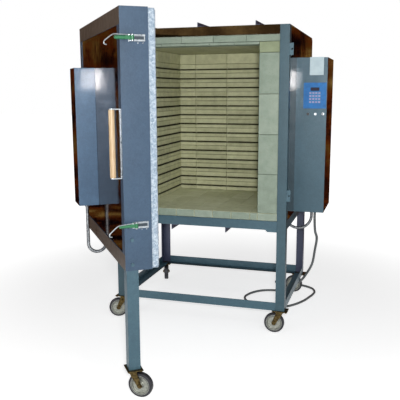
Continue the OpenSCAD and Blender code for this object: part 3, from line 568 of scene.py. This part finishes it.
def blanket(x0, x1, y0, y1, z0, z1, step):
    """A slab of fibre as rings round its edge, one above the other, roughened outward."""
    wide, tall, deep = (max(1, round(d / step)) for d in (x1 - x0, z1 - z0, y1 - y0))
    ring = [(x0 + (x1 - x0) * i / wide, y0) for i in range(wide)]
    ring += [(x1, y0 + (y1 - y0) * i / deep) for i in range(deep)]
    ring += [(x1 - (x1 - x0) * i / wide, y1) for i in range(wide)]
    ring += [(x0, y1 - (y1 - y0) * i / deep) for i in range(deep)]
    made, before = bmesh.new(), None
    for k in range(tall + 1):
        z, level = z0 + (z1 - z0) * k / tall, []
        for x, y in ring:
            place = Vector((x, y, z))
            inside = min(x - x0, x1 - x, z - z0, z1 - z)
            lump = sum(noise.noise(place * scale) * depth for scale, depth in (wide_lump, small_lump))
            if inside < 1e-6:
                place += nearest_side(x - (x0 + x1) / 2, z - (z0 + z1) / 2) * lump
            if y == y1:
                place.y -= pressed_in + abs(lump) * 0.8 + rounded_in * max(0, 1 - inside / rounded_width)
            level.append(made.verts.new(door_stands @ place))
        if before:
            for i in range(len(ring)):
                made.faces.new((before[i - 1], before[i], level[i], level[i - 1]))
        before = level
        if k in (0, tall):
            front, rear = level[:wide + 1], level[wide + deep:2 * wide + deep + 1][::-1]
            for i in range(wide):
                made.faces.new((front[i], front[i + 1], rear[i + 1], rear[i]))
            left_end = [front[0], rear[0]] + level[2 * wide + deep + 1:]
            right_end = [front[wide], rear[wide]] + level[wide + 1:wide + deep][::-1]
            for ends in (left_end, right_end):
                if len(ends) > 2:
                    made.faces.new(ends)
    return made


wool = material_named("fibre_blanket_painted_shade")
layers = add(wool, "TexWave", {"Vector": add(wool, "TexCoord").outputs["Object"], "Scale": 9,
                               "Distortion": 12, "Detail": 4, "Detail Scale": 4}, bands_direction="Z")
tufts = add(wool, "MixRGB", {"Fac": 0.85, "Color1": layers.outputs["Fac"],
                             "Color2": spots(wool, 6, Detail=8, Roughness=0.7)})
fibre_tone_and_painted_shade = spread(wool, tufts.outputs["Color"], 0, 1)
# The blanket is white: the blue-grey of these tones is painted shade and the blue cast of the light, over a
# real variation from its layers and tufts.
coated(wool, Base_Color=blended(wool, fibre_tone_and_painted_shade, "75899F", "98AABC", "B6C4D0", "DCE4EB"),
       Roughness=0.95, Sheen_Weight=0.2, Normal=raised(wool, spots(wool, 3, Detail=6), 1.6))
lining = mesh_piece("fibre_blanket", blanket(-0.531, 0.531, -0.0375, -0.0005, 0.630, 1.789, 0.0085), wool)
packing = mesh_piece("fibre_packing", blanket(-0.5317, 0.5317, -0.0925, -0.0376, 0.6293, 1.7897, 0.03), wool)
for piece in (lining, packing):
    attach(piece, "door")
    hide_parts("door_fibre")


# Flexible conduits
# Steel strip wound into a ridged hose, with a hexagon nut where it enters a box or the
# underside of the cabinet. Two hang as U bends, one below each box.

def plated(name, dark, light, roughness, grain_mm=20):
    """Bright zinc on steel, a little uneven and hazy from handling."""
    made = material_named(name)
    cloud = spots(made, grain_mm)
    coated(made, Base_Color=blended(made, spread(made, cloud, 0, 1), dark, light), Metallic=1.0,
           Roughness=spread(made, spots(made, grain_mm / 3), roughness - 0.08, roughness + 0.1))
    return made


bright_zinc = plated("bright_zinc_plate", "8C9298", "BAC0C4", 0.3)
hose_steel = plated("galvanised_hose", "585B5F", "8A8D90", 0.4)
hose_radius, ridge_pitch, ridge_depth = 0.0098, 0.006, 0.0014
# The hexagon and the round neck of a nut: sides, radius, and reach from its place.
nut_shapes = ((6, 0.0158, 0, 0.012), (24, 0.0125, -0.006, 0))


def ridged(walked):
    """The hose's radius at a distance along it."""
    return hose_radius - ridge_depth / 2 * (1 + math.cos(2 * math.pi * walked / ridge_pitch))


def hose(name, node, body, line, nuts, place=Matrix.Identity(4)):
    """A ridged hose along a line, with a nut standing on each of the places."""
    fine = [place @ line[0]]
    for a, b in zip(line, line[1:]):
        count = max(1, round((b - a).length / (ridge_pitch / 4)))
        fine += [place @ a.lerp(b, k / count) for k in range(1, count + 1)]
    made = swept(fine, ridged, 20)
    for nut in nuts:
        for sides, radius, low, high in nut_shapes:
            middle = Matrix.Translation(nut + Vector((0, 0, (low + high) / 2)))
            bmesh.ops.create_cone(made, cap_ends=True, segments=sides, radius1=radius, radius2=radius,
                                  depth=high - low, matrix=place @ middle)
    piece = edges_softened(mesh_piece(name, made, hose_steel), 0.5, 50, 1)
    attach(piece, body)
    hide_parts(node)


def hanging(start, end, straight_up):
    """A U bend whose arc hangs between start and end, each of which runs on straight up."""
    middle = (start + end) / 2
    across = (start - middle).normalized()
    radius = (start - middle).length
    arc = [middle + radius * (math.cos(a) * across - math.sin(a) * Vector((0, 0, 1)))
           for a in (math.pi * k / 32 for k in range(33))]
    return [start + Vector((0, 0, straight_up[0])), *arc, end + Vector((0, 0, straight_up[1]))]


near_leg, far_leg = from_front(625, 475, 637), from_front(453, 475, 637)
box_nut, cabinet_nut = from_front(625, 475, 683), from_front(453, 475, 625)
hose("cabinet_conduit", "conduit", "kiln", hanging(near_leg, far_leg, (0.058, 0.0001)),
     [box_nut, cabinet_nut])
near_leg, far_leg = Vector((-0.174, -0.2145, 0.596)), Vector((-0.174, -0.1145, 0.596))
door_box_nut, shell_nut = Vector((-0.174, -0.2145, 0.814)), Vector((-0.174, -0.1145, 0.614))
hose("door_box_conduit", "door_conduit", "door", hanging(near_leg, far_leg, (0.230, 0.030)),
     [door_box_nut, shell_nut], door_stands)


# Wooden grip and latches
# A turned beech handle between two plated straps. The toggle latches have plated
# bases, levers with a dipped green vinyl grip and a loose hook of round bar.

beech = material_named("turned_beech")
stretched_grain = add(beech, "Mapping", {"Vector": add(beech, "TexCoord").outputs["Object"],
                                         "Scale": (1, 1, 0.06)}).outputs["Vector"]
grain = spots(beech, 5, stretched_grain, Detail=6)
coated(beech, Base_Color=blended(beech, spread(beech, grain, 0, 1), "A8845A", "C8AD88", "DCC6A4"),
       Roughness=0.42, Normal=raised(beech, grain, 0.25))
dress("grip", beech, 3, 35, 4)
for node in ("grip_bracket", "latch_bases", "box_fittings", "toggle"):
    dress(node, bright_zinc, 0.6)
dark_cap = material_named("black_phenolic_cap")
coated(dark_cap, Base_Color=blended(dark_cap, spots(dark_cap, 6), "17171A", "2A2A2E"), Roughness=0.35)
cap_width = 0.022
first_cap_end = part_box("box_fittings")[0].x + cap_width
faced(frame["nodes"]["box_fittings"], dark_cap, lambda normal, middle: middle.x < first_cap_end)
for node in ("latch_hook_upper", "latch_hook_lower"):
    dress(node, bright_zinc, 0)
# Thin near-black sheets lie on the latch bases between their ears: painted shade standing for the slot there.
slot_painted_shade_steel = material_named("latch_slot_painted_shade")
coated(slot_painted_shade_steel, Base_Color=blended(slot_painted_shade_steel, spots(slot_painted_shade_steel, 10), "16202A", "2A3A44"), Roughness=0.5)
latch_heights, slot_x, slot_y, slot_size = (0.839, 1.661), 0.5392, -0.081, (0.0006, 0.046, 0.014)
screw_x, screw_ys, screw_below = 0.536, (-0.084, -0.062), 0.021
screw_wide, screw_narrow, screw_out = 0.0034, 0.0022, 0.002
slot_mesh, screw_mesh = bmesh.new(), bmesh.new()
for latch_z in latch_heights:
    slot_place = door_stands @ Matrix.Translation((slot_x, slot_y, latch_z))
    bmesh.ops.create_cube(slot_mesh, size=1, matrix=slot_place @ Matrix.Diagonal((*slot_size, 1)))
    for y in screw_ys:
        screw_place = door_stands @ Matrix.Translation((screw_x, y, latch_z - screw_below))
        bmesh.ops.create_cone(screw_mesh, cap_ends=True, segments=24, radius1=screw_wide,
                              radius2=screw_narrow, depth=screw_out,
                              matrix=screw_place @ Matrix.Rotation(math.pi / 2, 4, "Y"))
slots = edges_softened(mesh_piece("latch_slots", slot_mesh, slot_painted_shade_steel), 0.2)
screws = edges_softened(mesh_piece("latch_screws", screw_mesh, bright_zinc), 0.2)
for piece in (slots, screws):
    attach(piece, "door")
green_vinyl = material_named("dipped_green_vinyl")
coated(green_vinyl, Base_Color=blended(green_vinyl, spots(green_vinyl, 15), "1A5C38", "2E7E52"),
       Roughness=0.3, Normal=raised(green_vinyl, spots(green_vinyl, 8), 0.2))
for node in ("latch_lever_upper", "latch_lever_lower"):
    dress(node, green_vinyl, 0.8)


# Control box fittings
# A blue plastic controller plate with a dark window and a membrane keypad, and a bare
# paper label above it, stuck to the front of the sheet box.

def plastic(name, dark, light, roughness, grain_mm=0.8):
    """Moulded or printed plastic: even colour, a fine texture and a soft gloss."""
    made = material_named(name)
    coated(made, Base_Color=blended(made, spread(made, spots(made, 25), 0, 1), dark, light),
           Roughness=spread(made, spots(made, 6), roughness - 0.05, roughness + 0.05),
           Normal=raised(made, spots(made, grain_mm), 0.05))
    return made


dress("controller", plastic("blue_polycarbonate", "0462A6", "0878C4", 0.55), 1.2)
dress("display", plastic("dark_window_acrylic", "120E22", "1E1836", 0.08), 0.3)
dress("keypad", plastic("blue_key_film", "1A6CA8", "2C80BC", 0.4), 0.4)
low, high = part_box("keypad")
rows, columns, key_w, key_h, key_t = 4, 4, 0.0115, 0.0085, 0.0004
pads = bmesh.new()
for row in range(rows):
    for column in range(columns):
        x = low.x + (high.x - low.x) * (column + 0.5) / columns
        z = low.z + (high.z - low.z) * (row + 0.5) / rows
        bmesh.ops.create_cube(pads, size=1, matrix=Matrix.Translation((x, low.y, z))
                              @ Matrix.Diagonal((key_w, key_t, key_h, 1)))
key_print = plastic("lavender_key_print", "8E8AB4", "A8A4CC", 0.4)
keys = edges_softened(mesh_piece("key_pads", pads, key_print), 0.3)
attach(keys, "kiln")
paper = material_named("white_label_paper")
coated(paper, Base_Color=blended(paper, spread(paper, spots(paper, 30), 0, 1), "BCD2DA", "CCE0E6"),
       Roughness=0.5)
label_x, label_y, label_z = 0.654, front_y + 0.290, 1.5775
label_w, label_h, label_t, corner = 0.082, 0.105, 0.0004, 0.003
corner_x, corner_z = label_w / 2 - corner, label_h / 2 - corner
rim = [(sx * corner_x + corner * math.cos(a), sz * corner_z + corner * math.sin(a))
       for sx, sz, turn in ((1, 1, 0), (-1, 1, 90), (-1, -1, 180), (1, -1, 270))
       for a in (math.radians(turn + 30 * k) for k in range(4))]
sticker = bmesh.new()
front, back = ([sticker.verts.new((x + label_x, y, z + label_z)) for x, z in rim]
               for y in (label_y - label_t, label_y))
sticker.faces.new(front)
sticker.faces.new(back)
for k in range(len(rim)):
    sticker.faces.new((front[k - 1], front[k], back[k], back[k - 1]))
label = mesh_piece("bare_label", sticker, paper, False)
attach(label, "kiln")


# Casters
# Five-inch swivel casters: yellow-passivated steel plates and forks, grey cast cores
# and dark rubber tyres pressed on to them.

yellow_zinc = plated("yellow_passivated_zinc", "2C2414", "6A5A38", 0.45, 12)
for node in ("caster_plates", "door_caster_plate", *("fork_" + k for k in ("fr", "fl", "br", "bl", "door"))):
    dress(node, yellow_zinc, 0.7)
core_grey = plated("grey_cast_core", "7E807A", "A6A89E", 0.5, 9)
tyre_rubber = rubber("dark_tyre_rubber", "101014", "22222A", 0.5)


def mirrored(half):
    """A closed outline of (radius, place along the axle), from the half before the middle."""
    return half + [(radius, -along) for radius, along in reversed(half)]


tyre = mirrored([(42.5, -15), (54.5, -15), (57.6, -13.6), (59.6, -10.6), (60.5, -6)])
core = mirrored([(5.05, -17), (13, -17), (15, -15.5), (16.5, -8), (19, -6.5), (34, -6), (37.5, -7.5),
                 (39, -12.5), (40.5, -14.3), (47.5, -15.3), (48.6, -14.6)])


def turned(name, outline, centre, axle, material):
    """A ring turned about the axle, from an outline of (radius, place along it) in millimetres."""
    made, around, count = bmesh.new(), Vector((0, 0, 1)), 72
    rings = []
    for k in range(count):
        out = Matrix.Rotation(2 * math.pi * k / count, 3, axle) @ around
        rings.append([made.verts.new(centre + (out * r + axle * a) / 1000) for r, a in outline])
    for k in range(count):
        for j in range(len(outline)):
            made.faces.new((rings[k - 1][j - 1], rings[k - 1][j], rings[k][j], rings[k][j - 1]))
    return edges_softened(mesh_piece(name, made, material), 0.6, 30, 2)


joints = {j["name"]: j for j in frame["joints"]}
for where in ("fr", "fl", "br", "bl", "door"):
    low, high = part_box("wheel_" + where)
    axle = Vector(joints["spin_" + where]["axis"]).normalized()
    for kind, outline, material in (("tyre", tyre, tyre_rubber), ("core", core, core_grey)):
        piece = turned(f"{kind}_{where}", outline, (low + high) / 2, axle, material)
        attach(piece, "wheel_" + where)
        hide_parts("wheel_" + where)


# Studio
# A pale floor under the kiln and an even white background. Both are brighter to the
# camera and in reflections than as a light on the kiln.

def any_of(material, *rays):
    """1 for rays of one of these kinds, and 0 for the others."""
    path = add(material, "LightPath")
    found = path.outputs[rays[0]]
    for ray in rays[1:]:
        found = add(material, "Math", {0: found, 1: path.outputs[ray]}, operation="MAXIMUM").outputs["Value"]
    return found


floor_reach, floor_grey, dimmed_within, white_from = 30, (0.8, 0.8, 0.8, 1), 1.0, 3.2
floor_paper = material_named("studio_floor_paper")
floor = mesh_piece("studio_floor", bmesh.new(), floor_paper, False)
floor_corners = [(x * floor_reach, y * floor_reach, 0) for x, y in ((-1, -1), (1, -1), (1, 1), (-1, 1))]
floor.data.from_pydata(floor_corners, [], [(0, 1, 2, 3)])
matt = add(floor_paper, "BsdfDiffuse", {"Color": floor_grey}).outputs["BSDF"]
away = add(floor_paper, "VectorMath", {0: add(floor_paper, "TexCoord").outputs["Object"]}, operation="LENGTH")
whiteness = add(floor_paper, "MapRange", {"Value": away.outputs["Value"], "From Min": dimmed_within,
                                          "From Max": white_from, "To Min": 0.6, "To Max": 1.0},
                interpolation_type="SMOOTHSTEP")
white = add(floor_paper, "Emission", {"Color": (1, 1, 1, 1), "Strength": whiteness.outputs["Result"]})
whitened = add(floor_paper, "AddShader", {0: matt, 1: white.outputs["Emission"]}).outputs["Shader"]
seen_by = any_of(floor_paper, "Is Camera Ray", "Is Glossy Ray")
as_seen = add(floor_paper, "MixShader", {0: seen_by, 1: matt, 2: whitened})
add(floor_paper, "OutputMaterial", {"Surface": as_seen.outputs["Shader"]})

world = bpy.data.worlds.new("studio")
bpy.context.scene.world = world
world.use_nodes = True
world.node_tree.nodes.clear()
seen_white = any_of(world, "Is Camera Ray", "Is Transmission Ray", "Is Glossy Ray")
strength = add(world, "MapRange", {"Value": seen_white, "To Min": 0.2, "To Max": 1.0}).outputs["Result"]
sky = add(world, "Background", {"Color": (1, 1, 1, 1), "Strength": strength})
add(world, "OutputWorld", {"Surface": sky.outputs["Background"]})


# Studio curtain
# A dark hanging behind and beside the kiln, drawn out over the floor. It shows only in
# the polished panels, as the brown, rust and olive of what stands round the real kiln.

near_hem, far_hem, above_floor, hung_from, panel_turn, panels = 1.7, 4.5, 0.004, 4.2, 6, 33
profile = [(near_hem, above_floor), (far_hem, above_floor), (far_hem, hung_from)]
curtain_mesh = bmesh.new()
strips = [[curtain_mesh.verts.new((r * math.cos(a), r * math.sin(a), z)) for r, z in profile]
          for a in (math.radians(panel_turn * k) for k in range(panels + 1))]
for left, near in zip(strips, strips[1:]):
    for k in (0, 1):
        curtain_mesh.faces.new((left[k], near[k], near[k + 1], left[k + 1]))
cloth = material_named("studio_curtain")
drawn = add(cloth, "Mapping", {"Vector": add(cloth, "TexCoord").outputs["Object"],
                               "Scale": (1, 1, 0.4)}).outputs["Vector"]
folds = spots(cloth, 380, drawn, Detail=8, Roughness=0.72, Distortion=0.6)
cloth_colour = blended(cloth, spread(cloth, folds, -0.7, 1.5),
                       "08040A", "1E0A08", "6A2C0E", "5A4418", "9A7A44")
glow = add(cloth, "Emission", {"Color": cloth_colour, "Strength": 1.0})
add(cloth, "OutputMaterial", {"Surface": glow.outputs["Emission"]})
curtain = mesh_piece("studio_curtain", curtain_mesh, cloth, False)
for ray in ("camera", "diffuse", "transmission", "volume_scatter", "shadow"):
    setattr(curtain, "visible_" + ray, False)


# Lamps
# Two large soft lamps to the right and left of the camera, and the camera's own flash,
# whose glare shows on both boxes.

aim = Vector((0, -0.1, 1.0))
for name, place, size, watts in (("key_lamp", (2.6, -4.2, 3.6), 2.0, 32),
                                 ("fill_lamp", (-2.6, -4.2, 0.9), 2.0, 32),
                                 ("flash", (1.16, -3.96, 1.56), 0.2, 74)):
    lamp = bpy.data.objects.new(name, bpy.data.lights.new(name, "AREA"))
    lamp.data.size, lamp.data.energy = size, watts
    facing = (aim - Vector(place)).to_track_quat("-Z", "Y").to_matrix().to_4x4()
    lamp.matrix_world = Matrix.Translation(place) @ facing
    bpy.context.scene.collection.objects.link(lamp)

bpy.context.scene.view_settings.view_transform = "Standard"
